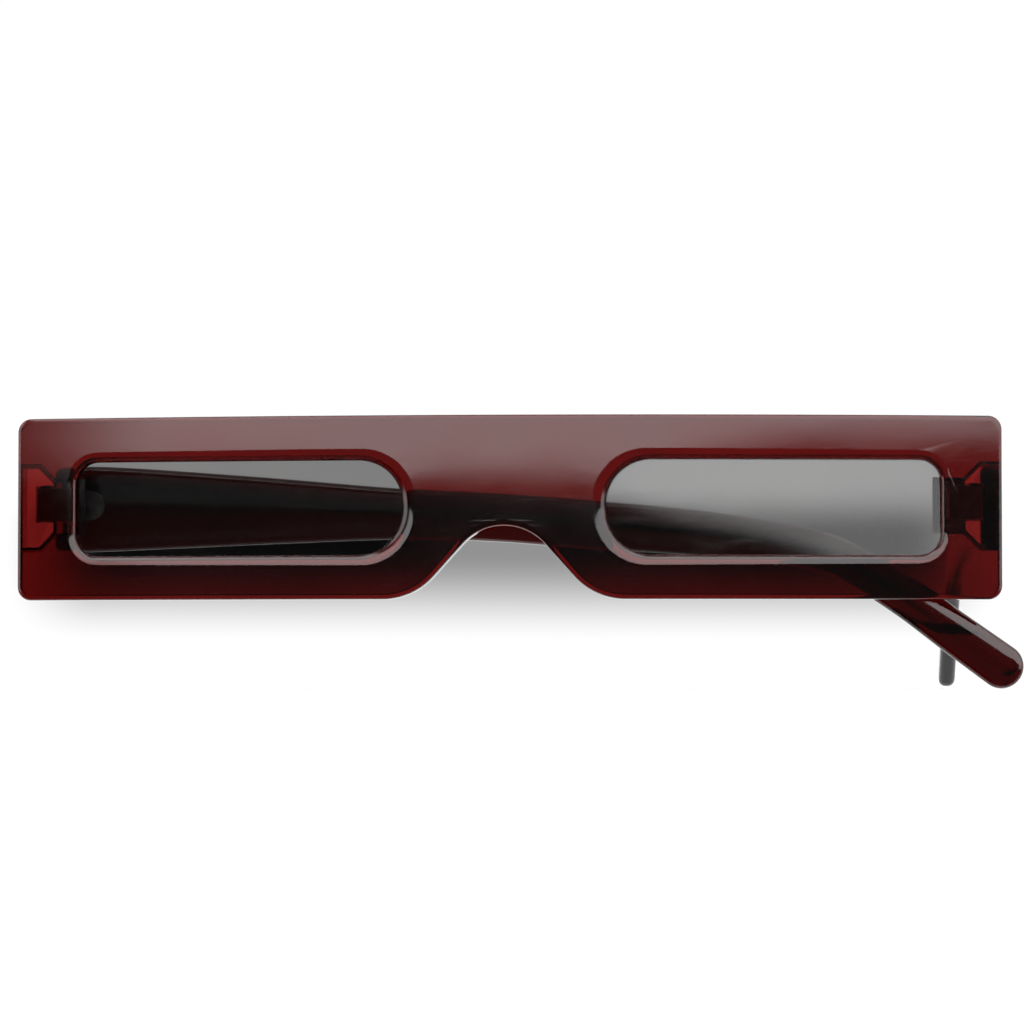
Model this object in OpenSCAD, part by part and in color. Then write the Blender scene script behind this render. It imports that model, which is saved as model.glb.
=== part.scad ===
// Flat top sunglasses with a thick plastic front and two folding temples.
// The origin is the crown of the nose arch, in the middle of the front's thickness.
// The front faces -Y, +Z is up as worn, and an open temple points along +Y.
// At rest the left temple is folded behind the lenses and the right one stands open.

/* [Front] */
// Width of the front over both ends
front_w = 144; // [138:0.5:152]
// Height of the front
front_h = 26.7; // [24:0.1:32]
// Radius of the front's outer face, seen from above
front_r = 380; // [340:5:460]
// Thickness of the rims and the bridge
front_t = 4; // [3.4:0.1:4.4]
// Rounding of the long top and bottom edges
edge_r = 1.2; // [0.6:0.1:1.5]
// Radius of the four outer corners
corner_r = 2; // [1:0.1:4]

/* [Lens openings] */
// Distance between the two openings
open_gap = 29.4; // [26:0.1:33]
// Width of an opening
open_w = 48.4; // [44:0.1:49]
// Height of an opening
open_h = 13.8; // [12:0.1:16]
// Corner radius on the temple side
open_outer_r = 3.2; // [1.5:0.1:5]
// Corner radius on the nose side
open_inner_r = 6.6; // [4:0.1:6.8]

/* [Lenses] */
// Thickness of a lens
lens_t = 1.8; // [1.4:0.1:2.2]
// Depth of the front's face over the lens
lens_set = 1.1; // [0.8:0.1:1.4]
// Depth of the groove that holds the lens
groove_d = 0.8; // [0.5:0.1:1.2]
// Gap round the lens in its groove
lens_gap = 0.05; // [0.02:0.01:0.1]

/* [Nose arch] */
// Height of material over the crown of the arch
bridge_h = 16.06; // [14:0.1:18]
// Radius of the arch
arch_r = 8; // [7:0.1:9]
// Slope of the arch's flanks
flank_deg = 48; // [42:1:54]
// Radius where a flank runs into the lower edge
flare_r = 10; // [7:0.5:11]

/* [Endpieces] */
// Distance from the front's end to the start of the ramp at its back
ramp_out = 9.1; // [8.6:0.1:9.6]
// Distance from the front's end to the flat of the endpiece
shelf_out = 5.7; // [5.4:0.1:6.4]
// Distance from the front's end to the raised seat of the temple
lug_out = 4.7; // [4.4:0.1:4.9]
// Height of the lug that takes the temple's end
lug_h = 13; // [12.5:0.1:14]
// Length of the lug at its full height
lug_flat = 3.4; // [3:0.1:4]
// Height of the neck between the lug and the rim
lug_neck_h = 8.2; // [7:0.1:9]
// Height of the lug's middle over the lens line
lug_z = 0.3; // [0:0.1:0.6]
// Thickness of the hollow lug's walls
wall_t = 0.7; // [0.5:0.1:1]
// Thickness of the front where the lug is hollow
floor_t = 2.2; // [1.6:0.1:3]

/* [Temples] */
// Length of a temple from its hinge pin to its tip
temple_len = 143.2; // [138:0.2:150]
// Thickness of a temple
temple_t = 3; // [2.6:0.1:3.2]
// Height of the temple's end at the hinge
head_h = 12.2; // [10:0.1:12.4]
// Height of the temple in the middle
arm_h = 7.1; // [6:0.1:8]
// Height of the temple at the ear bend
neck_h = 5.5; // [4.6:0.1:6.4]
// Height of the rounded tip
tip_h = 6.5; // [5.6:0.1:7.4]
// Slope of the tip
tip_deg = 36; // [30:0.5:42]
// Fold of the inner temple past the square position
inner_fold = 1.45; // [1.3:0.05:1.5]
// Angle of the outer temple short of the square position when folded
outer_fold = 1.4; // [1.3:0.1:2.5]

/* [Hinges] */
// Distance from the front's end to the hinge pin
hinge_inset = 4; // [3.8:0.05:4.1]
// Depth of the hinge pins behind the front's face at the bridge
hinge_depth = 11.95; // [11.8:0.05:12.4]
// Height of the hinges' middle over the lens line
hinge_z = 0.8; // [0.4:0.1:1]
// Radius of the knuckles
knuckle_r = 1; // [0.9:0.05:1.05]
// Height of the three knuckles together
barrel_h = 4.8; // [4.2:0.1:5.4]
// Gap between neighbouring knuckles
knuckle_gap = 0.05; // [0.03:0.01:0.1]
// Radius of the hinge screw
screw_r = 0.6; // [0.5:0.05:0.65]
// Radial clearance of the temple's knuckle on the screw
screw_clear = 0.05; // [0.02:0.01:0.08]
// Radius of the screw's head
screw_head_r = 0.95; // [0.8:0.05:1]
// Height of the screw's head
screw_head_h = 0.5; // [0.4:0.1:0.7]
// Thickness of the hinge leaves
leaf_t = 0.7; // [0.5:0.1:0.8]
// Height of the temple's leaf
leaf_h = 4.4; // [3.8:0.1:4.6]
// Length of the temple's leaf from the pin
leaf_len = 8.2; // [6.5:0.1:10]
// Depth of the leaf's seat in the temple
leaf_inlay = 0.2; // [0.1:0.05:0.4]
// Width of the anchor plate moulded into the endpiece
anchor_w = 4.8; // [4:0.1:5]
// Thickness of the anchor plate
anchor_t = 0.8; // [0.6:0.1:1]

/* [Hidden] */

frame_color = [0.25, 0.03, 0.03];
lens_color = [0.28, 0.28, 0.28];
steel_color = [0.62, 0.61, 0.6];
bend_fn = 720;
round_fn = 48;
arc_steps = 8;
spline_steps = 4;
past = 1;

// The lens line is the height z = 0 inside the modules; place() lifts it over the crown.
crown_z = front_h / 2 - bridge_h;
end_x = front_w / 2;
hinge_x = end_x - hinge_inset;
open_in = open_gap / 2;
open_out = open_in + open_w;
bend_half = asin(end_x / front_r) + past;

// The temple's inner face and end lie this far from the pin's axis.
temple_off = 0.95;
temple_end = 1;
seat_gap = 0.1;
seat_floor = hinge_depth + temple_end - seat_gap;
shelf_off = 0.15;
shelf_y = hinge_depth - shelf_off;

// Room round the knuckles in the recess: beside them, under them and at their ends.
side_room = 0.4;
floor_room = 0.2;
end_room = 0.3;
recess_half_w = knuckle_r + side_room;
recess_floor = hinge_depth - knuckle_r - floor_room;
recess_lo = hinge_z - barrel_h / 2 - end_room;
recess_hi = hinge_z + barrel_h / 2 + screw_head_h + end_room;

hollow_x = hinge_x - recess_half_w;
web_w = 1.6;
slot_w = 0.3;
slot_d = 0.25;
neck_room = 0.15;
anchor_in = 1.1;
boss_side = 0.3;
knuckle_h = (barrel_h - 2 * knuckle_gap) / 3;
neck_len = knuckle_r + neck_room;
cover_deep = 1.5;

function face_y(x) = front_r - sqrt(front_r * front_r - x * x);
function back_y(x) = front_r - sqrt(pow(front_r - front_t, 2) - x * x);

// Points on an arc in the plane of the front, from one angle to another.
function arc(cx, cz, r, from, to, steps = arc_steps) =
    [for (i = [0:steps]) [cx + r * cos(from + (to - from) * i / steps),
        cz + r * sin(from + (to - from) * i / steps)]];

// A rectangle from x0 to x1 about the lens line, with its own radius at each end.
function opening(x0, x1, h, r0, r1) = concat(
    arc(x0 + r0, h / 2 - r0, r0, 180, 90),
    arc(x1 - r1, h / 2 - r1, r1, 90, 0),
    arc(x1 - r1, r1 - h / 2, r1, 0, -90),
    arc(x0 + r0, r0 - h / 2, r0, -90, -180));

// Catmull-Rom spline through a list of stations.
function mixed(p0, p1, p2, p3, t) = 0.5 * (2 * p1 + (p2 - p0) * t
    + (2 * p0 - 5 * p1 + 4 * p2 - p3) * t * t + (3 * p1 - p0 - 3 * p2 + p3) * t * t * t);
function smooth(s) = let (n = len(s))
    [for (i = [0:n - 2]) for (k = [0:spline_steps - (i == n - 2 ? 0 : 1)])
        mixed(s[max(i - 1, 0)], s[i], s[i + 1], s[min(i + 2, n - 1)], k / spline_steps)];

// The ear bend lies this far inside the far hinge pin of a folded pair, so that the tip
// passes under the far endpiece, and the tip's line starts there at this height.
bend_in = 16.8;
bend_x = 2 * hinge_x - bend_in;
tip_line_z = -7.92;
tip_r = tip_h / 2;
tip_x = temple_len - tip_r;
function on_tip(share) = let (x = bend_x + share * (tip_x - bend_x))
    [x, tip_line_z - (x - bend_x) * tan(tip_deg)];

// Stations of the temple: distance from the pin, height of its middle, its own height.
stations = [
    [temple_end, 0.1, head_h],
    [8, 0.3, head_h + 0.4],
    [30, 0, (head_h + arm_h) / 2 + 0.5],
    [0.436 * bend_x, -0.55, arm_h + 0.4],
    [0.554 * bend_x, -1.1, arm_h],
    [0.671 * bend_x, -2.2, arm_h],
    [0.789 * bend_x, -3.3, arm_h - 0.4],
    [bend_x - 12.2, -4.9, neck_h + 0.6],
    [bend_x - 4.7, -6.5, neck_h + 0.2],
    [bend_x, -8.7, neck_h],
    concat(on_tip(0.35), [neck_h + 0.3]),
    concat(on_tip(0.663), [tip_h - 0.3]),
    concat(on_tip(1), [tip_h])];
path = smooth(stations);
last = len(path) - 1;
function heading(i) = i == 0 ? 0 : i == last ? -tip_deg
    : atan2(path[i + 1][1] - path[i - 1][1], path[i + 1][0] - path[i - 1][0]);
function edge_point(i, side) = [path[i][0] - side * path[i][2] / 2 * sin(heading(i)),
    path[i][1] + side * path[i][2] / 2 * cos(heading(i))];
temple_outline = concat(
    [for (i = [0:last - 1]) edge_point(i, 1)],
    arc(path[last][0], path[last][1], tip_r, 90 - tip_deg, -90 - tip_deg, 2 * arc_steps),
    [for (i = [last - 1:-1:0]) edge_point(i, -1)]);

// Half of the nose arch: where its flank meets the arch and the lower edge.
flank_top = [arch_r * sin(flank_deg), crown_z - arch_r * (1 - cos(flank_deg))];
flank_foot = flank_top[0] + (flank_top[1] + front_h / 2) / tan(flank_deg);
flare_len = flare_r * tan(flank_deg / 2);
flare_x = flank_foot + flare_len;

// Outline of the front's right half, from the top of the bridge round to the crown.
half_front = concat(
    [[0, front_h / 2]],
    arc(end_x - corner_r, front_h / 2 - corner_r, corner_r, 90, 0),
    arc(end_x - corner_r, corner_r - front_h / 2, corner_r, 0, -90),
    arc(flare_x, flare_r - front_h / 2, flare_r, -90, -90 - flank_deg),
    arc(0, crown_z - arch_r, arch_r, 90 - flank_deg, 90));
function flipped(points) = [for (p = points) [-p[0], p[1]]];

module place() {
    translate([0, -front_t / 2, -crown_z])
        children();
}

module on_side(side) {
    if (side > 0)
        children();
    else
        mirror([1, 0, 0])
            children();
}

// Extrudes an outline drawn as seen from the front from depth y0 to depth y1.
module through(y0, y1) {
    translate([0, y1, 0])
        rotate([90, 0, 0])
            linear_extrude(height = y1 - y0)
                children();
}

// Bends a slab to the front's curve, its face the given depth behind the front's.
module bent_slab(depth, thick, height, edge = 0) {
    x0 = front_r - depth - thick;
    x1 = front_r - depth;
    z1 = height / 2;
    translate([0, front_r, 0])
        rotate_extrude(angle = 2 * bend_half, start = 270 - bend_half, $fn = bend_fn)
            polygon(edge == 0 ? [[x0, -z1], [x1, -z1], [x1, z1], [x0, z1]] : concat(
                arc(x1 - edge, z1 - edge, edge, 0, 90, 3),
                arc(x0 + edge, z1 - edge, edge, 90, 180, 3),
                arc(x0 + edge, edge - z1, edge, 180, 270, 3),
                arc(x1 - edge, edge - z1, edge, 270, 360, 3)));
}

// The lug seen from the front, with its walls drawn in by wall: a full height at the end,
// 45 degree shoulders and a lower neck towards the rim, cut off at x0 and x1.
function lug_outline(x0, x1, wall) = let (
        z1 = lug_h / 2 - wall,
        shoulder = end_x - lug_flat + wall * tan(22.5),
        z0 = max(lug_neck_h / 2 - wall, z1 - shoulder + x0),
        neck = shoulder - z1 + z0)
    [[x0, lug_z - z0], [neck, lug_z - z0], [shoulder, lug_z - z1], [x1, lug_z - z1],
        [x1, lug_z + z1], [shoulder, lug_z + z1], [neck, lug_z + z0], [x0, lug_z + z0]];

// Extrudes an outline seen from above over the front's whole height.
module upright() {
    translate([0, 0, -front_h / 2])
        linear_extrude(height = front_h)
            children();
}

module endpiece() {
    x0 = end_x - ramp_out;
    x1 = end_x - shelf_out;
    x2 = end_x - lug_out;
    intersection() {
        upright()
            polygon([[x0, face_y(x0) + cover_deep], [x0, back_y(x0)], [x1, shelf_y],
                [x2, shelf_y], [x2, seat_floor], [end_x + past, seat_floor],
                [end_x + past, face_y(end_x) + cover_deep]]);
        through(-past, seat_floor + past)
            polygon(lug_outline(x0 - past, end_x + past, 0));
    }
}

// The hollow of the lug, round the boss that carries the hinge.
module lug_hollow() {
    x1 = end_x - wall_t;
    difference() {
        intersection() {
            upright()
                polygon([[hollow_x, face_y(hollow_x) + floor_t], [x1, face_y(x1) + floor_t],
                    [x1, seat_floor + past], [hollow_x, seat_floor + past]]);
            through(-past, seat_floor + past)
                polygon(lug_outline(hollow_x, x1, wall_t));
        }
        translate([hollow_x - past, 0, hinge_z - barrel_h / 2 - boss_side])
            cube([hinge_x + knuckle_r + boss_side - hollow_x + past, recess_floor,
                barrel_h + 2 * boss_side]);
    }
}

// The part of the lug that carries the hinge, which stays whole behind a wider opening.
module lug_core() {
    x0 = hollow_x - wall_t;
    x1 = end_x + 2 * past;
    intersection() {
        upright()
            polygon([[x0, face_y(x0) + cover_deep], [x0, seat_floor + 2 * past],
                [x1, seat_floor + 2 * past], [x1, face_y(end_x) + cover_deep]]);
        through(-past, seat_floor + 3 * past)
            polygon(lug_outline(x0 - past, x1 + past, 0));
    }
}

module lens_cut() {
    difference() {
        through(-past, seat_floor + past)
            polygon(opening(open_in, open_out, open_h, open_inner_r, open_outer_r));
        lug_core();
    }
    intersection() {
        bent_slab(lens_set, lens_t + 2 * lens_gap, front_h);
        through(-past, seat_floor + past)
            polygon(opening(open_in - groove_d, open_out + groove_d, open_h + 2 * groove_d,
                open_inner_r + groove_d, open_outer_r + groove_d));
    }
}

module hinge_recess() {
    translate([hollow_x, recess_floor, recess_lo])
        cube([2 * recess_half_w, seat_floor + past - recess_floor, recess_hi - recess_lo]);
}

module anchor_plate() {
    translate([hinge_x + anchor_in - anchor_w, recess_floor - anchor_t, hinge_z - barrel_h / 2])
        cube([anchor_w, anchor_t, barrel_h]);
}

module front_frame() {
    color(frame_color)
        place()
            difference() {
                intersection() {
                    union() {
                        bent_slab(0, front_t, front_h, edge_r);
                        for (side = [1, -1])
                            on_side(side)
                                endpiece();
                    }
                    through(-past, seat_floor + past)
                        polygon(concat(half_front, [for (i = [len(half_front) - 2:-1:1])
                            flipped(half_front)[i]]));
                }
                for (side = [1, -1])
                    on_side(side) {
                        lens_cut();
                        lug_hollow();
                        hinge_recess();
                        anchor_plate();
                    }
            }
}

module lens(side) {
    grow = groove_d - lens_gap;
    color(lens_color)
        place()
            on_side(side)
                intersection() {
                    bent_slab(lens_set + lens_gap, lens_t, front_h);
                    through(-past, seat_floor + past)
                        polygon(opening(open_in - grow, open_out + grow, open_h + 2 * grow,
                            open_inner_r + grow, open_outer_r + grow));
                }
}

module lens_left() {
    lens(-1);
}

module lens_right() {
    lens(1);
}

// Stands a hinged piece on its pin; it is drawn open, along +Y, and swung inwards.
module on_pin(side, swing) {
    place()
        on_side(side)
            translate([hinge_x, hinge_depth, 0])
                rotate([0, 0, swing])
                    children();
}

// Outline of the temple's leaf, seen from the side: its plate with a round end.
module leaf_outline(grow = 0) {
    r = leaf_h / 2;
    polygon(concat([[neck_len, hinge_z - r - grow]],
        arc(leaf_len - r, hinge_z, r + grow, -90, 90),
        [[neck_len, hinge_z + r + grow]]));
}

// Extrudes a side view across the temple, from one distance off the pin to another.
module across(x0, x1) {
    translate([x0, 0, 0])
        rotate([90, 0, 90])
            linear_extrude(height = x1 - x0)
                children();
}

module temple(side, swing) {
    color(frame_color)
        on_pin(side, swing)
            difference() {
                across(temple_off, temple_off + temple_t)
                    polygon(temple_outline);
                across(temple_off - past, temple_off + leaf_inlay)
                    leaf_outline();
                translate([0, 0, hinge_z - knuckle_h / 2])
                    cube([temple_off + leaf_inlay, neck_len, knuckle_h]);
            }
}

module front_leaf(side) {
    color(steel_color)
        place()
            on_side(side)
                difference() {
                    union() {
                        anchor_plate();
                        for (low = [hinge_z - barrel_h / 2, hinge_z + barrel_h / 2 - knuckle_h])
                            translate([hinge_x, hinge_depth, low]) {
                                cylinder(h = knuckle_h, r = knuckle_r, $fn = round_fn);
                                translate([-web_w / 2, recess_floor - hinge_depth, 0])
                                    cube([web_w, hinge_depth - recess_floor, knuckle_h]);
                            }
                    }
                    translate([hinge_x, hinge_depth, hinge_z - barrel_h / 2 - past])
                        cylinder(h = barrel_h + 2 * past, r = screw_r, $fn = round_fn);
                }
}

module temple_leaf(side, swing) {
    x0 = temple_off + leaf_inlay - leaf_t;
    color(steel_color)
        on_pin(side, swing)
            difference() {
                union() {
                    across(x0, x0 + leaf_t)
                        leaf_outline();
                    translate([x0, 0, hinge_z - knuckle_h / 2])
                        cube([leaf_t, neck_len, knuckle_h]);
                    translate([0, 0, hinge_z - knuckle_h / 2])
                        cylinder(h = knuckle_h, r = knuckle_r, $fn = round_fn);
                }
                translate([0, 0, hinge_z - barrel_h])
                    cylinder(h = 2 * barrel_h, r = screw_r + screw_clear, $fn = round_fn);
            }
}

module screw(side) {
    top = hinge_z + barrel_h / 2;
    color(steel_color)
        place()
            on_side(side)
                translate([hinge_x, hinge_depth, 0])
                    difference() {
                        union() {
                            translate([0, 0, hinge_z - barrel_h / 2])
                                cylinder(h = barrel_h, r = screw_r, $fn = round_fn);
                            translate([0, 0, top])
                                cylinder(h = screw_head_h, r = screw_head_r, $fn = round_fn);
                        }
                        translate([-knuckle_r, -slot_w / 2, top + screw_head_h - slot_d])
                            cube([2 * knuckle_r, slot_w, slot_d + past]);
                    }
}

// Swing of each temple at rest, from open towards folded.
left_swing = 90 + inner_fold;
right_swing = 0;

module temple_left() {
    temple(-1, left_swing);
}

module temple_right() {
    temple(1, right_swing);
}

module hinge_front_leaf_left() {
    front_leaf(-1);
}

module hinge_front_leaf_right() {
    front_leaf(1);
}

module hinge_temple_leaf_left() {
    temple_leaf(-1, left_swing);
}

module hinge_temple_leaf_right() {
    temple_leaf(1, right_swing);
}

module hinge_screw_left() {
    screw(-1);
}

module hinge_screw_right() {
    screw(1);
}

front_frame();
lens_left();
lens_right();
temple_left();
temple_right();
hinge_front_leaf_left();
hinge_front_leaf_right();
hinge_temple_leaf_left();
hinge_temple_leaf_right();
hinge_screw_left();
hinge_screw_right();
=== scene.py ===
"""Flat top sunglasses: a thick front and two temples of translucent deep red plastic,
two smoke lenses and small nickel hinges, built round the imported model."""
import math

import bmesh
import bpy
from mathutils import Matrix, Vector
from mathutils.geometry import tessellate_polygon


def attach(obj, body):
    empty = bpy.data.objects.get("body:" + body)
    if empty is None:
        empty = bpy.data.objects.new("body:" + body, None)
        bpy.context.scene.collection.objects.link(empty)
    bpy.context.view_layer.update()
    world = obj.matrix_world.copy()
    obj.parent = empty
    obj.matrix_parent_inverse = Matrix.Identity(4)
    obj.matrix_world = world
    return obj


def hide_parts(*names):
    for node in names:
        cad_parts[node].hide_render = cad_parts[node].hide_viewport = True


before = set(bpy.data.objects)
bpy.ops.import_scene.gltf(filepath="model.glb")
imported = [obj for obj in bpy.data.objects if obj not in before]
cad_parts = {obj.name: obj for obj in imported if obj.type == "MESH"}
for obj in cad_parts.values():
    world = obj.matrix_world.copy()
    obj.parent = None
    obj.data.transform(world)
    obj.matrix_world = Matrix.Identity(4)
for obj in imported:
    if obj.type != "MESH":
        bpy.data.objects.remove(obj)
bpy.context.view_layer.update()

# Real sizes in millimetres. The pieces are drawn with z = 0 at the lens line and y = 0 at
# the front's face, and to_frame() takes them to the model's own origin.
MM = 0.001

# The front.
FRONT_W = 144.0
FRONT_H = 26.7
FRONT_T = 4.0
FRONT_R = 380.0
END_X = FRONT_W / 2
CORNER_R = 2.0
FACE_ROUND = 0.65
BACK_ROUND = 0.6

# The lens openings, and how their rims roll in. The roll widens beside the bridge.
OPEN_IN = 14.7
OPEN_W = 48.4
OPEN_H = 13.8
OPEN_OUTER_R = 3.2
OPEN_INNER_R = 6.6
RIM_ROUND = 1.2
RIM_INNER_ROUND = 1.8
RIM_BACK_ROUND = 0.8
RIM_WIDENS = OPEN_INNER_R + 4.0

# A rounding starts gently, as a curve of this power, and ends in a ring on the flat face.
GENTLE = 2.6
FLAT_RING = 0.2
EDGE_STEPS = 9

# The lenses and their grooves. A lens leans by a slope beside the bridge and by more or
# less of it for each millimetre further out.
GROOVE_D = 0.8
GROOVE_Y = (0.95, 3.15)
LENS_GROW = 0.75
LENS_Y = (1.15, 2.95)
LENS_ROUND = 0.2
LENS_LEAN = {-1: (-0.005, 0.0), 1: (0.002, 0.0004)}

# The nose arch.
BRIDGE_H = 16.06
CROWN_Z = FRONT_H / 2 - BRIDGE_H
ARCH_R = 8.0
FLANK = 48.0
FLARE_R = 10.0

# The hinges.
HINGE_X = END_X - 4.0
HINGE_Y = 11.95
HINGE_Z = 0.8
BARREL_H = 4.8
SCREW_HEAD_H = 0.5
HINGE_ROOM = 0.3

# The lug behind each end of the front: its outline, its ramp and its hollow.
LUG_Z = 0.3
LUG_H = 13.0
LUG_FLAT = 3.4
LUG_NECK = 8.2
LUG_WALL = 0.7
LUG_FLOOR = 2.2
LUG_START_Y = 1.6
LUG_SHOULDER = 45.0
RAMP_SLOPE = 0.9
RAMP_X = 62.9
SHELF_X = 66.3
SEAT_X = 67.3
SEAT_STEP = 0.1
SHELF_Y = 11.8
SEAT_Y = 12.85
HOLLOW_X = HINGE_X - 1.4
RECESS_X = HINGE_X + 1.4
BOSS_X = HINGE_X + 1.3
RECESS_FLOOR = 10.75
RECESS_LOW = HINGE_Z - BARREL_H / 2 - HINGE_ROOM
RECESS_HIGH = HINGE_Z + BARREL_H / 2 + SCREW_HEAD_H + HINGE_ROOM
BOSS_HIGH = HINGE_Z + BARREL_H / 2 + HINGE_ROOM

# The lug's rings: how far each is drawn in, and its share of the depth. The edge at the back
# is the part over LUG_EDGE, which keeps its own depth.
LUG_RINGS = [(0.0, 0.0), (0.0, 0.8), (0.12, 0.94), (0.35, 1.0)]
LUG_EDGE = 0.9
LUG_EDGE_DEPTH = 3.0
LUG_INSIDE = 0.02

# Cutters reach this far past what they cut.
PAST = 1.0

# The temples, drawn open along their length and swung on their pins.
TEMPLE_OFF = 0.95
TEMPLE_END = 1.0
TEMPLE_T = 3.0
HEAD_H = 12.2
HEAD_Z = 0.1
ARM_H = 7.1
NECK_H = 5.5
TIP_H = 6.5
TIP_DEG = 36.0
TIP_X = 143.2 - TIP_H / 2
BEND_X = 2 * HINGE_X - 16.8
TIP_LINE_Z = -7.92
SWING = {-1: 91.45, 1: 0.0}
END_ROUND = 0.5
TEMPLE_ROUND = 1.2
TEMPLE_CROWN = 0.06
TEMPLE_SMOOTH = 60
MERGE = 0.001

# Slope of each tip's face, which comes in over this length round the ear bend.
TIP_LEAN = {-1: -0.02, 1: 0.036}
LEAN_BEFORE = 6.0
LEAN_LENGTH = 12.0

SIDES = ((-1, "left"), (1, "right"))

# Flat pieces are cut every 3 mm up to these distances from the middle, and then bent.
SLICE = 3
FRONT_REACH = 69
OPEN_REACH = 63


def to_frame(x, y, z):
    """A drawn point in millimetres as a point of the model in metres."""
    return Vector((x * MM, (y - FRONT_T / 2) * MM, (z - CROWN_Z) * MM))


def slope(degrees):
    return math.tan(math.radians(degrees))


def bent(x, y, z):
    """A point of the flat front, bent to the front's curve."""
    r = FRONT_R - y
    return x, FRONT_R - math.sqrt(r * r - x * x), z


def arc(cx, cz, r, start, end, steps, outwards=1):
    """Points of an arc, each with the direction that leads out of the plastic."""
    points = []
    for i in range(steps + 1):
        a = math.radians(start + (end - start) * i / steps)
        c, s = math.cos(a), math.sin(a)
        points.append((cx + r * c, cz + r * s, outwards * c, outwards * s))
    return points


def mirrored(points):
    return [(-x, z, -nx, nz) for x, z, nx, nz in reversed(points)]


def front_outline():
    """The front's outline, from the top right corner round to the arch and back."""
    high = FRONT_H / 2
    flank = math.radians(FLANK)
    top_x = ARCH_R * math.sin(flank)
    top_z = CROWN_Z - ARCH_R * (1 - math.cos(flank))
    foot = top_x + (top_z + high) / slope(FLANK)
    flare_x = foot + FLARE_R * slope(FLANK / 2)
    right = arc(END_X - CORNER_R, high - CORNER_R, CORNER_R, 90, 0, 8)
    right += arc(END_X - CORNER_R, CORNER_R - high, CORNER_R, 0, -90, 8)
    right += arc(flare_x, FLARE_R - high, FLARE_R, -90, -90 - FLANK, 14)
    crown = arc(0, CROWN_Z - ARCH_R, ARCH_R, 90 - FLANK, 90, 14, -1)
    return right + crown + mirrored(crown)[1:] + mirrored(right)


def opening_outline(side, grow=0.0):
    """The outline of one lens opening, whose plastic lies outside it."""
    x0, x1 = OPEN_IN - grow, OPEN_IN + OPEN_W + grow
    high = OPEN_H / 2 + grow
    r0, r1 = OPEN_INNER_R + grow, OPEN_OUTER_R + grow
    points = arc(x0 + r0, high - r0, r0, 180, 90, 14, -1)
    points += arc(x1 - r1, high - r1, r1, 90, 0, 10, -1)
    points += arc(x1 - r1, r1 - high, r1, 0, -90, 10, -1)
    points += arc(x0 + r0, r0 - high, r0, -90, -180, 14, -1)
    return points if side > 0 else mirrored(points)


def solid_side(points):
    """The same outline for a piece that fills the opening."""
    return [(x, z, -nx, -nz) for x, z, nx, nz in points]


def edge_profile(y0, y1, round0, round1, steps=EDGE_STEPS):
    """Rounded edge of a plate: how far each ring is drawn in, and its depth. The first and last
    rings lie on the flat faces to keep their shading flat."""
    front, back = [(round0 + FLAT_RING, y0)], []
    for i in range(steps + 1):
        a = math.pi / 2 * i / steps
        across, deep = math.sin(a) ** (2 / GENTLE), math.cos(a) ** (2 / GENTLE)
        front.append((round0 * (1 - across), y0 + round0 * (1 - deep)))
        back.append((round1 * (1 - across), y1 - round1 * (1 - deep)))
    return front + back[::-1] + [(round1 + FLAT_RING, y1)]


def rim_profile(points):
    """The edge of an opening, whose face rolls in further beside the bridge. Each ring has
    its own way in at every point of the outline."""
    widen = RIM_INNER_ROUND / RIM_ROUND - 1
    shares = []
    for x, z, nx, nz in points:
        beside = max(0, (OPEN_IN + RIM_WIDENS - abs(x)) / RIM_WIDENS)
        shares.append(beside * beside * (3 - 2 * beside))
    rings = []
    for inset, depth in edge_profile(0, FRONT_T, RIM_ROUND, RIM_BACK_ROUND):
        grow = widen if depth < RIM_ROUND else 0
        rings.append(([inset * (1 + grow * share) for share in shares], depth))
    return rings


def plate(loops, profiles):
    """A closed plate with rounded edges: the first loop is its outline, the rest are holes."""
    bm = bmesh.new()
    ends = [[], []]
    for points, rings in zip(loops, profiles):
        rows = []
        for inset, depth in rings:
            insets = inset if isinstance(inset, list) else [inset] * len(points)
            row = []
            for (x, z, nx, nz), way_in in zip(points, insets):
                row.append(bm.verts.new((x - nx * way_in, depth, z - nz * way_in)))
            rows.append(row)
        walled(bm, rows)
        ends[0].append(rows[0])
        ends[1].append(rows[-1])
    for rims in ends:
        flat = [v for rim in rims for v in rim]
        outlines = [[Vector((v.co.x, v.co.z, 0)) for v in rim] for rim in rims]
        for a, b, c in tessellate_polygon(outlines):
            if len({a, b, c}) == 3:
                bm.faces.new((flat[a], flat[b], flat[c]))
    bmesh.ops.recalc_face_normals(bm, faces=bm.faces)
    return bm


def walled(bm, rows):
    """Faces between each ring of points and the next."""
    for low, high in zip(rows, rows[1:]):
        for i in range(len(low)):
            j = (i + 1) % len(low)
            bm.faces.new((low[i], low[j], high[j], high[i]))


def sliced(bm, *places):
    """Cuts the mesh by upright planes at these places across the front."""
    for x in places:
        geom = bm.verts[:] + bm.edges[:] + bm.faces[:]
        bmesh.ops.bisect_plane(bm, geom=geom, dist=1e-5, plane_co=(x, 0, 0), plane_no=(1, 0, 0))
    return bm


def bendable(bm, reach):
    """Cuts the mesh by even planes, so that it can bend."""
    return sliced(bm, *range(-reach, reach + 1, SLICE))


def made(name, bm, move):
    """Turns a drawn mesh into an object of the scene, moving each point by move(x, y, z) and
    turning its faces outwards."""
    for v in bm.verts:
        v.co = to_frame(*move(*v.co))
    bmesh.ops.recalc_face_normals(bm, faces=bm.faces)
    if bm.calc_volume(signed=True) < 0:
        bmesh.ops.reverse_faces(bm, faces=bm.faces)
    mesh = bpy.data.meshes.new(name)
    bm.to_mesh(mesh)
    bm.free()
    piece = bpy.data.objects.new(name, mesh)
    bpy.context.scene.collection.objects.link(piece)
    return piece


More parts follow.
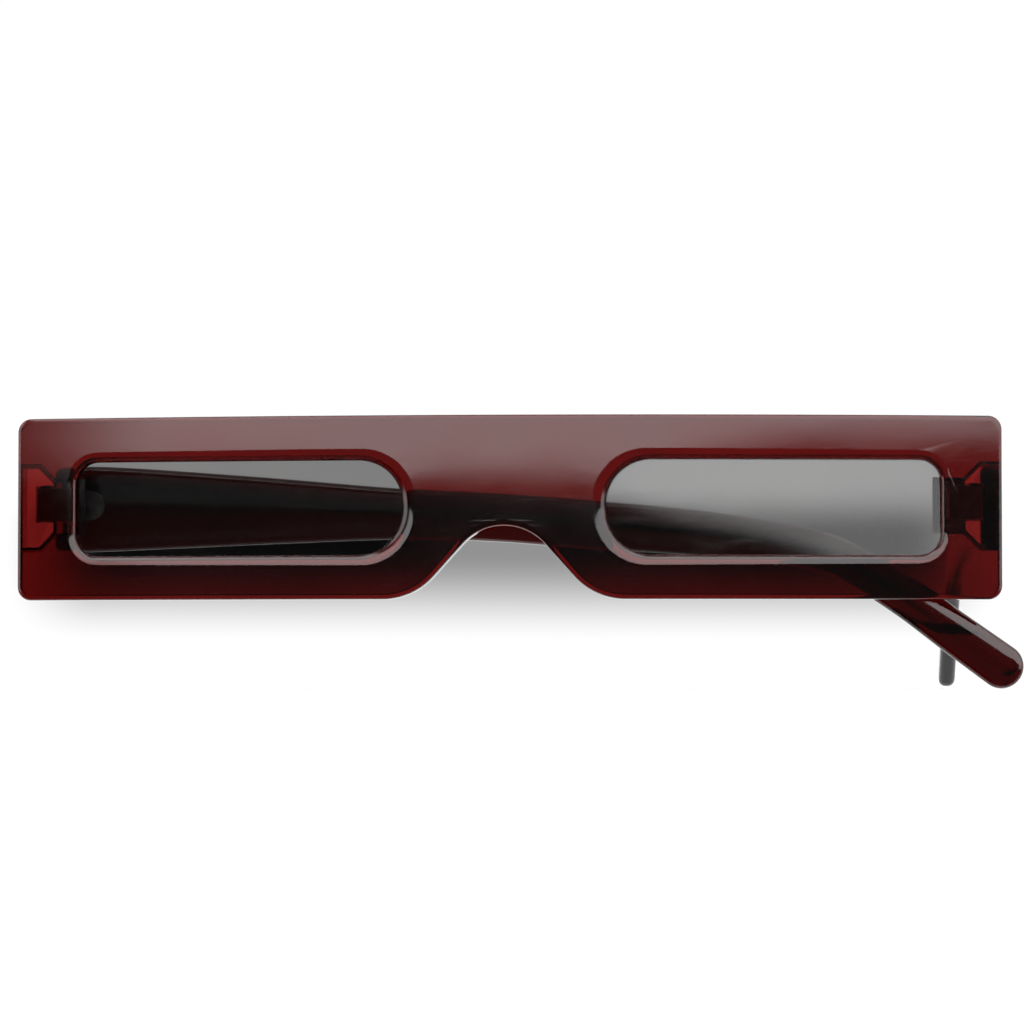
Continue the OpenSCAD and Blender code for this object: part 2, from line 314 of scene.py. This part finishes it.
def joined(piece, others, operation):
    """Adds or cuts the other meshes, and keeps the result."""
    for other in others:
        cut = piece.modifiers.new("cut", "BOOLEAN")
        cut.operation = operation
        cut.solver = "EXACT"
        cut.object = other
        bpy.context.view_layer.update()
        evaluated = piece.evaluated_get(bpy.context.evaluated_depsgraph_get())
        mesh = bpy.data.meshes.new_from_object(evaluated)
        piece.modifiers.clear()
        piece.data = mesh
        bpy.data.objects.remove(other)
    return piece


def smoothed(piece, degrees=28):
    """Soft shading that keeps flat faces flat and sharp corners sharp."""
    mesh = piece.data
    mesh.polygons.foreach_set("use_smooth", [True] * len(mesh.polygons))
    mesh.set_sharp_from_angle(angle=math.radians(degrees))
    weighted = piece.modifiers.new("weighted", "WEIGHTED_NORMAL")
    weighted.mode = "FACE_AREA_WITH_ANGLE"
    weighted.weight = 50
    weighted.keep_sharp = True
    return piece


class Nodes:
    """Adds nodes to the tree of a material or of the world."""

    def __init__(self, tree):
        self.tree = tree

    def feed(self, socket, value):
        """Links a Val to a socket, or sets a plain number or colour on it."""
        if isinstance(value, Val):
            self.tree.links.new(value.socket, socket)
        else:
            socket.default_value = value

    def node(self, kind, settings=None, values=None, take=0):
        """One node. take names the output wanted, or several of them."""
        n = self.tree.nodes.new("ShaderNode" + kind)
        for key, value in (settings or {}).items():
            setattr(n, key, value)
        for key, value in (values or {}).items():
            self.feed(n.inputs[key], value)
        if isinstance(take, tuple):
            return [Val(self, n.outputs[key]) for key in take]
        return Val(self, n.outputs[take])

    def step(self, value, low, high, start=0.0, end=1.0):
        """start below low, end over high and a soft change between them."""
        return self.node(
            "MapRange",
            {"interpolation_type": "SMOOTHSTEP"},
            {"Value": value, "From Min": low, "From Max": high, "To Min": start, "To Max": end},
        )


class Finish(Nodes):
    """One material, built node by node."""

    def __init__(self, name):
        self.material = bpy.data.materials.new(name)
        self.material.use_nodes = True
        super().__init__(self.material.node_tree)
        self.shader = self.tree.nodes["Principled BSDF"]
        self.output = self.tree.nodes["Material Output"]

    def noise(self, scale, detail=2.0, stretch=None):
        where = self.node("TexCoord", take="Object")
        if stretch:
            where = self.node("Mapping", values={"Vector": where, "Scale": stretch})
        return self.node("TexNoise", values={"Vector": where, "Scale": scale, "Detail": detail})

    def mix(self, factor, a, b):
        return self.node(
            "Mix", {"data_type": "RGBA"}, {"Factor": factor, 6: a, 7: b}, take=2
        )

    def bump(self, height, strength, distance):
        return self.node(
            "Bump", values={"Height": height, "Strength": strength, "Distance": distance}
        )

    def give(self, **values):
        for key, value in values.items():
            self.feed(self.shader.inputs[key.replace("_", " ")], value)
        return self

    def absorb(self, colour, density):
        """Clear depth: what the colour lacks is lost along the way through the piece."""
        depth = self.node("VolumeAbsorption", values={"Color": (*colour, 1), "Density": density})
        self.feed(self.output.inputs["Volume"], depth)
        return self


class Val:
    """A value among the nodes. Arithmetic on it becomes Math nodes."""

    def __init__(self, nodes, socket):
        self.nodes = nodes
        self.socket = socket

    def maths(self, operation, a, b):
        return self.nodes.node("Math", {"operation": operation}, {0: a, 1: b})

    def __add__(self, other):
        return self.maths("ADD", self, other)

    def __radd__(self, other):
        return self.maths("ADD", other, self)

    def __sub__(self, other):
        return self.maths("SUBTRACT", self, other)

    def __rsub__(self, other):
        return self.maths("SUBTRACT", other, self)

    def __mul__(self, other):
        return self.maths("MULTIPLY", self, other)

    def __rmul__(self, other):
        return self.maths("MULTIPLY", other, self)

    def __lt__(self, other):
        return self.maths("LESS_THAN", self, other)

    def __gt__(self, other):
        return self.maths("GREATER_THAN", self, other)

    def __abs__(self):
        return self.nodes.node("Math", {"operation": "ABSOLUTE"}, {0: self})

    def larger(self, other):
        return self.maths("MAXIMUM", self, other)


def red_plastic(name, density):
    """Polished translucent plastic: fine flow streaks, faint handling marks, clear depth."""
    f = Finish(name)
    clouds = f.noise(60, 3)
    flow = f.noise(18, 2, stretch=(1, 1, 6))
    fine = f.noise(900, 2)
    scratches = f.noise(350, 1, stretch=(1, 1, 14))
    tone = f.step(0.6 * clouds + 0.4 * flow, 0.35, 0.65)
    dulled = 0.03 * f.step(clouds, 0.3, 0.7) + 0.03 * f.step(scratches, 0.62, 0.75)
    f.give(
        Base_Color=f.mix(tone, (0.43, 0.038, 0.034, 1), (0.53, 0.044, 0.040, 1)),
        Roughness=0.025 + dulled,
        IOR=1.5,
        Transmission_Weight=1.0,
        Normal=f.bump(flow + 0.2 * fine, 0.03, 0.00005),
    )
    return f.absorb((0.35, 0.0, 0.0), density)


def smoke_lens():
    """Polished neutral smoke plastic with a few faint wipe marks."""
    f = Finish("smoke_lens")
    wipes = f.noise(120, 2, stretch=(1, 1, 5))
    clouds = f.noise(40, 2)
    f.give(
        Base_Color=f.mix(f.step(clouds, 0.3, 0.7), (0.56, 0.56, 0.56, 1), (0.6, 0.6, 0.59, 1)),
        Roughness=0.02 + 0.02 * f.step(wipes, 0.5, 0.7),
        IOR=1.44,
        Transmission_Weight=1.0,
    )
    return f.absorb((0.5, 0.5, 0.5), 1080)


def nickel(name, colour, rough):
    """Stamped nickel with fine grain and dulled patches."""
    f = Finish(name)
    grain = f.noise(2500, 2, stretch=(1, 1, 8))
    dull = f.noise(500, 3)
    dark = tuple(c * 0.72 for c in colour)
    f.give(
        Base_Color=f.mix(f.step(dull, 0.35, 0.7), (*dark, 1), (*colour, 1)),
        Metallic=1.0,
        Roughness=rough + 0.14 * f.step(dull, 0.4, 0.7) + 0.05 * grain,
        Normal=f.bump(grain, 0.15, 0.00003),
    )
    return f


def pale_ground():
    """Matt white ground, faintly clouded."""
    f = Finish("pale_floor")
    grain = f.noise(40, 3)
    f.give(
        Base_Color=f.mix(grain, (0.9, 0.9, 0.9, 1), (0.94, 0.94, 0.94, 1)),
        Roughness=0.7,
    )
    return f


def finished(piece, finish, body):
    """Gives a piece its finish and the body that it rides on."""
    piece.data.materials.clear()
    piece.data.materials.append(finish.material)
    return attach(piece, body)


def lug_outline(side, x0, x1, wall):
    """Corners of the lug seen from the front, with the ways out of them."""
    bevel = slope(LUG_SHOULDER / 2)
    z1 = LUG_H / 2 - wall
    shoulder = END_X - LUG_FLAT + wall * bevel
    z0 = max(LUG_NECK / 2 - wall, z1 - shoulder + x0)
    neck = shoulder - z1 + z0
    half = [(x0, z0, -1, 1)]
    if neck > x0 + 0.01:
        half.append((neck, z0, -bevel, 1))
    half += [(shoulder, z1, -bevel, 1), (x1, z1, 1, 1)]
    points = [(x, LUG_Z + z, nx, nz) for x, z, nx, nz in half]
    points += [(x, LUG_Z - z, nx, -nz) for x, z, nx, nz in reversed(half)]
    return points if side > 0 else mirrored(points)


def lug_back(x):
    """Depth of the lug's back at this distance from the middle: a ramp, a shelf and the seat."""
    ramp_y = FRONT_R - math.sqrt((FRONT_R - FRONT_T) ** 2 - RAMP_X**2)
    stops = [(RAMP_X, ramp_y), (SHELF_X, SHELF_Y), (SEAT_X, SHELF_Y), (SEAT_X + SEAT_STEP, SEAT_Y)]
    if abs(x) <= RAMP_X:
        return ramp_y - (RAMP_X - abs(x)) * RAMP_SLOPE
    for (xa, ya), (xb, yb) in zip(stops, stops[1:]):
        if abs(x) <= xb:
            return ya + (yb - ya) * (abs(x) - xa) / (xb - xa)
    return SEAT_Y


def lug(side):
    """The lug as a block whose back follows the ramp, with softened edges."""
    bm = plate([lug_outline(side, RAMP_X - PAST, END_X - LUG_INSIDE, 0)], [LUG_RINGS])
    for x in (RAMP_X, SHELF_X, SEAT_X, SEAT_X + SEAT_STEP):
        sliced(bm, side * x)

    def move(x, y, z):
        start = bent(x, LUG_START_Y, z)[1]
        back = lug_back(x)
        if y < LUG_EDGE:
            return x, start + (back - start) * y, z
        return x, back - (1.0 - y) * LUG_EDGE_DEPTH, z

    return made("lug", bm, move)


def lug_hollow(side):
    """The hollow of the lug, round the boss that carries the hinge."""
    points = lug_outline(side, HOLLOW_X, END_X - LUG_WALL, LUG_WALL)
    bm = plate([points], [[(0.0, 0.0), (0.0, 1.0)]])

    def move(x, y, z):
        return x, bent(x, LUG_FLOOR, z)[1] if y < 0.5 else SEAT_Y + PAST, z

    boss = box_piece(
        "boss", side, (HOLLOW_X - PAST, BOSS_X), (2, RECESS_FLOOR), (RECESS_LOW, BOSS_HIGH)
    )
    return joined(made("hollow", bm, move), [boss], "DIFFERENCE")


def hinge_recess(side):
    return box_piece(
        "recess", side, (HOLLOW_X, RECESS_X), (RECESS_FLOOR, 15), (RECESS_LOW, RECESS_HIGH)
    )


def box_piece(name, side, xs, ys, zs):
    """A plain block used only for cutting."""
    bm = bmesh.new()
    bmesh.ops.create_cube(bm, size=1)
    for v in bm.verts:
        v.co = (
            side * (xs[0] if v.co.x < 0 else xs[1]),
            ys[0] if v.co.y < 0 else ys[1],
            zs[0] if v.co.z < 0 else zs[1],
        )
    return made(name, bm, lambda x, y, z: (x, y, z))


def groove(side):
    points = solid_side(opening_outline(side, GROOVE_D))
    bm = plate([points], [[(0.0, GROOVE_Y[0]), (0.0, GROOVE_Y[1])]])
    return made("groove", bendable(bm, OPEN_REACH), bent)


def front_piece():
    """The moulded front: bent slab, lens grooves, hollow lugs and hinge recesses."""
    loops = [front_outline(), opening_outline(-1), opening_outline(1)]
    edge = edge_profile(0, FRONT_T, FACE_ROUND, BACK_ROUND)
    bm = plate(loops, [edge, rim_profile(loops[1]), rim_profile(loops[2])])
    piece = made("front", bendable(bm, FRONT_REACH), bent)
    joined(piece, [groove(-1), groove(1)], "DIFFERENCE")
    joined(piece, [lug(-1), lug(1)], "UNION")
    joined(piece, [lug_hollow(-1), lug_hollow(1)], "DIFFERENCE")
    joined(piece, [hinge_recess(-1), hinge_recess(1)], "DIFFERENCE")
    return smoothed(piece)


def lens_piece(name, side):
    """A lens bent like the front and sprung into its groove, where it leans a little."""
    points = solid_side(opening_outline(side, LENS_GROW))
    bm = plate([points], [edge_profile(LENS_Y[0], LENS_Y[1], LENS_ROUND, LENS_ROUND, 2)])
    lean, twist = LENS_LEAN[side]

    def move(x, y, z):
        x, y, z = bent(x, y, z)
        return x, y + (lean + twist * (abs(x) - OPEN_IN)) * z, z

    return smoothed(made(name, bendable(bm, OPEN_REACH), move))


def mixed(p0, p1, p2, p3, t):
    """A point between p1 and p2 on a Catmull-Rom curve."""
    square, cube = t * t, t * t * t
    return [
        0.5 * (2 * b + (c - a) * t + (2 * a - 5 * b + 4 * c - d) * square + (3 * b - a - 3 * c + d) * cube)
        for a, b, c, d in zip(p0, p1, p2, p3)
    ]


def temple_path(steps=8):
    """Middle line of a temple with its height at each point: a curve through stations, each
    with its distance from the pin, the height of its middle and its own height."""

    def on_tip(share):
        x = BEND_X + share * (TIP_X - BEND_X)
        return x, TIP_LINE_Z - (x - BEND_X) * slope(TIP_DEG)

    s = [
        (TEMPLE_END, HEAD_Z, HEAD_H),
        (8, 0.3, HEAD_H + 0.4),
        (30, 0, (HEAD_H + ARM_H) / 2 + 0.5),
        (0.436 * BEND_X, -0.55, ARM_H + 0.4),
        (0.554 * BEND_X, -1.1, ARM_H),
        (0.671 * BEND_X, -2.2, ARM_H),
        (0.789 * BEND_X, -3.3, ARM_H - 0.4),
        (BEND_X - 12.2, -4.9, NECK_H + 0.6),
        (BEND_X - 4.7, -6.5, NECK_H + 0.2),
        (BEND_X, -8.7, NECK_H),
        (*on_tip(0.35), NECK_H + 0.3),
        (*on_tip(0.663), TIP_H - 0.3),
        (*on_tip(1), TIP_H),
    ]
    last = len(s) - 1
    path = []
    for i in range(last):
        around = s[max(i - 1, 0)], s[i], s[i + 1], s[min(i + 2, last)]
        path += [mixed(*around, k / steps) for k in range(steps)]
    return path + [list(s[last])]


def temple_sections(end_steps=4, tip_steps=14):
    """Cross sections along a temple, from the hinge end to the tip: centre, direction across its
    height, half height, half thickness and how far past the centre of the round tip it lies."""
    path = temple_path()
    last = len(path) - 1
    sections = []
    for i in range(end_steps + 1):
        a = math.pi / 2 * i / end_steps
        drawn_in = END_ROUND * (1 - math.sin(a))
        x = TEMPLE_END + END_ROUND * (1 - math.cos(a))
        high, thick = HEAD_H / 2 - drawn_in, TEMPLE_T / 2 - drawn_in
        sections.append((x, HEAD_Z, 0, 1, high, thick, 0))
    for i in range(2, last + 1):
        x, z, high = path[i]
        heading = math.radians(-TIP_DEG)
        if i < last:
            before, after = path[i - 1], path[i + 1]
            heading = math.atan2(after[1] - before[1], after[0] - before[0])
        sections.append((x, z, -math.sin(heading), math.cos(heading), high / 2, TEMPLE_T / 2, 0))
    tip = math.radians(TIP_DEG)
    x, z, high = path[last]
    for i in range(1, tip_steps + 1):
        on = TIP_H / 2 * math.sin(math.pi / 2 * i / tip_steps)
        centre = (x + on * math.cos(tip), z - on * math.sin(tip))
        sections.append((*centre, math.sin(tip), math.cos(tip), TIP_H / 2, TEMPLE_T / 2, on))
    return sections


def section_points(high, thick, on, steps=7):
    """Points round one cross section: rounded edges and barely crowned faces. Past the centre of
    the tip the outline is a half circle, and the same edge runs evenly round it."""
    crown = min(TEMPLE_CROWN, thick * 0.1)
    r = min(TEMPLE_ROUND, (thick - crown) * 0.95, high * 0.95)
    flat, out = high - r, thick - crown - r
    top = math.acos(min(1, max(0, on - flat) / r))
    half = []
    for k in range(steps + 1):
        a = top * k / steps
        away = flat + r * math.cos(a)
        half.append((math.sqrt(max(0, away * away - on * on)), out + r * math.sin(a)))
    reach, level = half[-1]
    shares = (0.8, 0.5, 0.2, -0.2, -0.5, -0.8)
    face = [(0.0, level)] * len(shares)
    if on < flat:
        face = [(reach * t, thick - crown * ((reach * t) ** 2 + on * on) / flat**2) for t in shares]
    half += face + [(-u, o) for u, o in reversed(half)]
    return half + [(-u, -o) for u, o in half]


def temple_piece(name, side):
    """One moulded temple, lofted through its sections and swung on its pin."""
    bm = bmesh.new()
    rows = []
    for x, z, nx, nz, high, thick, on in temple_sections():
        lean = TIP_LEAN[side] * min(1, max(0, (x - BEND_X + LEAN_BEFORE) / LEAN_LENGTH))
        row = []
        for u, o in section_points(high, thick, on):
            row.append(bm.verts.new((x + nx * u, TEMPLE_T / 2 + o + lean * u, z + nz * u)))
        rows.append(row)
    walled(bm, rows)
    bm.faces.new(rows[0])
    bmesh.ops.remove_doubles(bm, verts=bm.verts, dist=MERGE)
    turn = math.radians(SWING[side])

    def move(x, y, z):
        off = TEMPLE_OFF + y
        px = HINGE_X + off * math.cos(turn) - x * math.sin(turn)
        py = HINGE_Y + off * math.sin(turn) + x * math.cos(turn)
        return side * px, py, z

    return smoothed(made(name, bm, move), TEMPLE_SMOOTH)


front_plastic = red_plastic("front_plastic", 610)
# The temples take a denser, darker copy of the front's plastic: painted shade for the shadowed table
# behind the tips.
shaded_temple_plastic = red_plastic("shaded_temple_plastic", 1500)
smoke = smoke_lens()
hinge_nickel = nickel("hinge_nickel", (0.30, 0.29, 0.28), 0.34)
screw_nickel = nickel("screw_nickel", (0.5, 0.49, 0.47), 0.2)

METALS = {
    "hinge_front_leaf_": hinge_nickel,
    "hinge_temple_leaf_": hinge_nickel,
    "hinge_screw_": screw_nickel,
}

front = finished(front_piece(), front_plastic, "front")
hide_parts("front_frame")
for side, end in SIDES:
    lens = finished(lens_piece("smoke_lens_" + end, side), smoke, "front")
    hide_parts("lens_" + end)
    temple = temple_piece("side_arm_" + end, side)
    finished(temple, shaded_temple_plastic, end + "_temple")
    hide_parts("temple_" + end)
    for node, finish in METALS.items():
        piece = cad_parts[node + end]
        piece.data.materials.clear()
        piece.data.materials.append(finish.material)


# The stage, in metres: a pale floor just under the tip, a white surround and a soft light.
FLOOR_Z = -0.0236
FLOOR_W = 4.0
WHITE = 1.03
ON_THE_FLOOR = 0.12

# The shade low behind the pair, between these slopes of the view, and its strength for the
# camera and through the plastic.
SHADE_FOOT = (0.006, 0.030)
SHADE_TOP = (0.034, 0.046)
SHADE_SIDE = (0.096, 0.121)
SHADE_X = 0.061
SHADE = 0.72
SHADE_THROUGH = 1.0

# The studio that the gloss reflects: a panel with a soft lower edge, which rises to the
# right, its dim left and upper ends, and a light on each flank.
PANEL_EDGE = (0.0455, 0.0530)
PANEL_RISE_X = (0.05, 0.25)
PANEL_RISE = 0.009
PANEL_LEFT = (-0.54, -0.38)
PANEL_TOP = (0.93, 0.985)
PANEL_ENDS = 0.1
PANEL_DIM = 0.08
PANEL_BRIGHT = 3.5
FLANKS = (0.62, 0.78)
FLANK_FOOT = (-0.25, -0.1)
FLANK_BRIGHT = 2.6
BACK_Y = (-0.2, 0.25)

# The photograph's view: how far away, how far to the right, and its height and aim.
CAMERA_AWAY = 600.0
CAMERA_TURN = 3.5
CAMERA_Z = -24.5
CAMERA_AIM = (1.23, -0.78)
CAMERA_LENS = 146.3
SENSOR_W = 36


def pale_floor():
    bm = bmesh.new()
    bmesh.ops.create_grid(bm, x_segments=2, y_segments=2, size=FLOOR_W)
    mesh = bpy.data.meshes.new("floor")
    bm.to_mesh(mesh)
    bm.free()
    mesh.materials.append(pale_ground().material)
    floor = bpy.data.objects.new("floor", mesh)
    floor.location = (0, 0, FLOOR_Z)
    floor.visible_glossy = False
    bpy.context.scene.collection.objects.link(floor)


def soft_light(name, place, aim, width, height, radiance):
    """A soft box of even brightness, as wide and high as given in metres."""
    data = bpy.data.lights.new(name, "AREA")
    data.shape = "RECTANGLE"
    data.size, data.size_y = width, height
    data.energy = radiance * math.pi * width * height
    light = bpy.data.objects.new(name, data)
    light.location = place
    light.rotation_mode = "QUATERNION"
    light.rotation_quaternion = (Vector(aim) - Vector(place)).to_track_quat("-Z", "Y")
    bpy.context.scene.collection.objects.link(light)
    return light


def surround():
    """A white surround with a soft shade on its backdrop, low behind the pair. The gloss sees a
    studio instead: on the camera's side a large soft panel overhead, dim below its lower edge."""
    world = bpy.data.worlds.new("surround")
    bpy.context.scene.world = world
    world.use_nodes = True
    world.cycles.sampling_method = "NONE"
    f = Nodes(world.node_tree)
    toward = f.node("TexCoord", take="Generated")
    x, y, z = f.node("SeparateXYZ", values={0: toward}, take=("X", "Y", "Z"))
    kinds = ("Is Camera Ray", "Is Transmission Ray", "Is Diffuse Ray")
    depths = ("Ray Depth", "Transmission Depth")
    seen, through, diffuse, depth, through_depth = f.node("LightPath", take=kinds + depths)

    low = f.step(z, *SHADE_FOOT) * f.step(z, *SHADE_TOP, 1.0, 0.0)
    aside = f.step(abs(x + SHADE_X), *SHADE_SIDE, 1.0, 0.0)
    strength = through * (SHADE_THROUGH - SHADE) + SHADE
    shade = low * strength * aside * (y > 0.0)
    plain = WHITE * (1.0 - shade) * (1.0 + ON_THE_FLOOR * diffuse)

    raised = z - f.step(x, *PANEL_RISE_X, 0.0, PANEL_RISE)
    panel = f.step(raised, *PANEL_EDGE, PANEL_DIM, PANEL_BRIGHT)
    ends = f.step(x, *PANEL_LEFT, PANEL_ENDS, 1.0) * f.step(z, *PANEL_TOP, 1.0, PANEL_ENDS)
    flanks = f.step(abs(x), *FLANKS, 0.0, FLANK_BRIGHT) * f.step(z, *FLANK_FOOT)
    back = f.step(y, *BACK_Y)
    studio = (panel * ends).larger(flanks) * (1.0 - back) + back

    # A ray that no surface has turned back sees the white surround. The depth counts one
    # more in the world than the surfaces that it met.
    straight = (seen + through) * (depth - through_depth < 1.5) + diffuse
    background = f.tree.nodes["Background"]
    f.feed(background.inputs["Color"], (1, 1, 1, 1))
    f.feed(background.inputs["Strength"], straight * plain + (1.0 - straight) * studio)


def camera():
    """The photograph's view: 0.6 m away, a little to the right, low and slightly upwards."""
    data = bpy.data.cameras.new("camera")
    data.sensor_width = SENSOR_W
    data.lens = CAMERA_LENS
    data.clip_start, data.clip_end = 0.01, 20
    cam = bpy.data.objects.new("camera", data)
    turn = math.radians(CAMERA_TURN)
    aside, aim_z = CAMERA_AIM
    aim = to_frame(aside * math.cos(turn), aside * math.sin(turn), aim_z)
    cam.location = to_frame(CAMERA_AWAY * math.sin(turn), -CAMERA_AWAY * math.cos(turn), CAMERA_Z)
    cam.rotation_mode = "QUATERNION"
    cam.rotation_quaternion = (aim - cam.location).to_track_quat("-Z", "Y")
    bpy.context.scene.collection.objects.link(cam)
    bpy.context.scene.camera = cam


pale_floor()
surround()
soft_light("top_box", (0, -0.5, 1.4), (0, 0, 0), 1.8, 1.2, 0.8)
camera()
bpy.context.scene.view_settings.view_transform = "Standard"
bpy.context.scene.view_settings.look = "None"
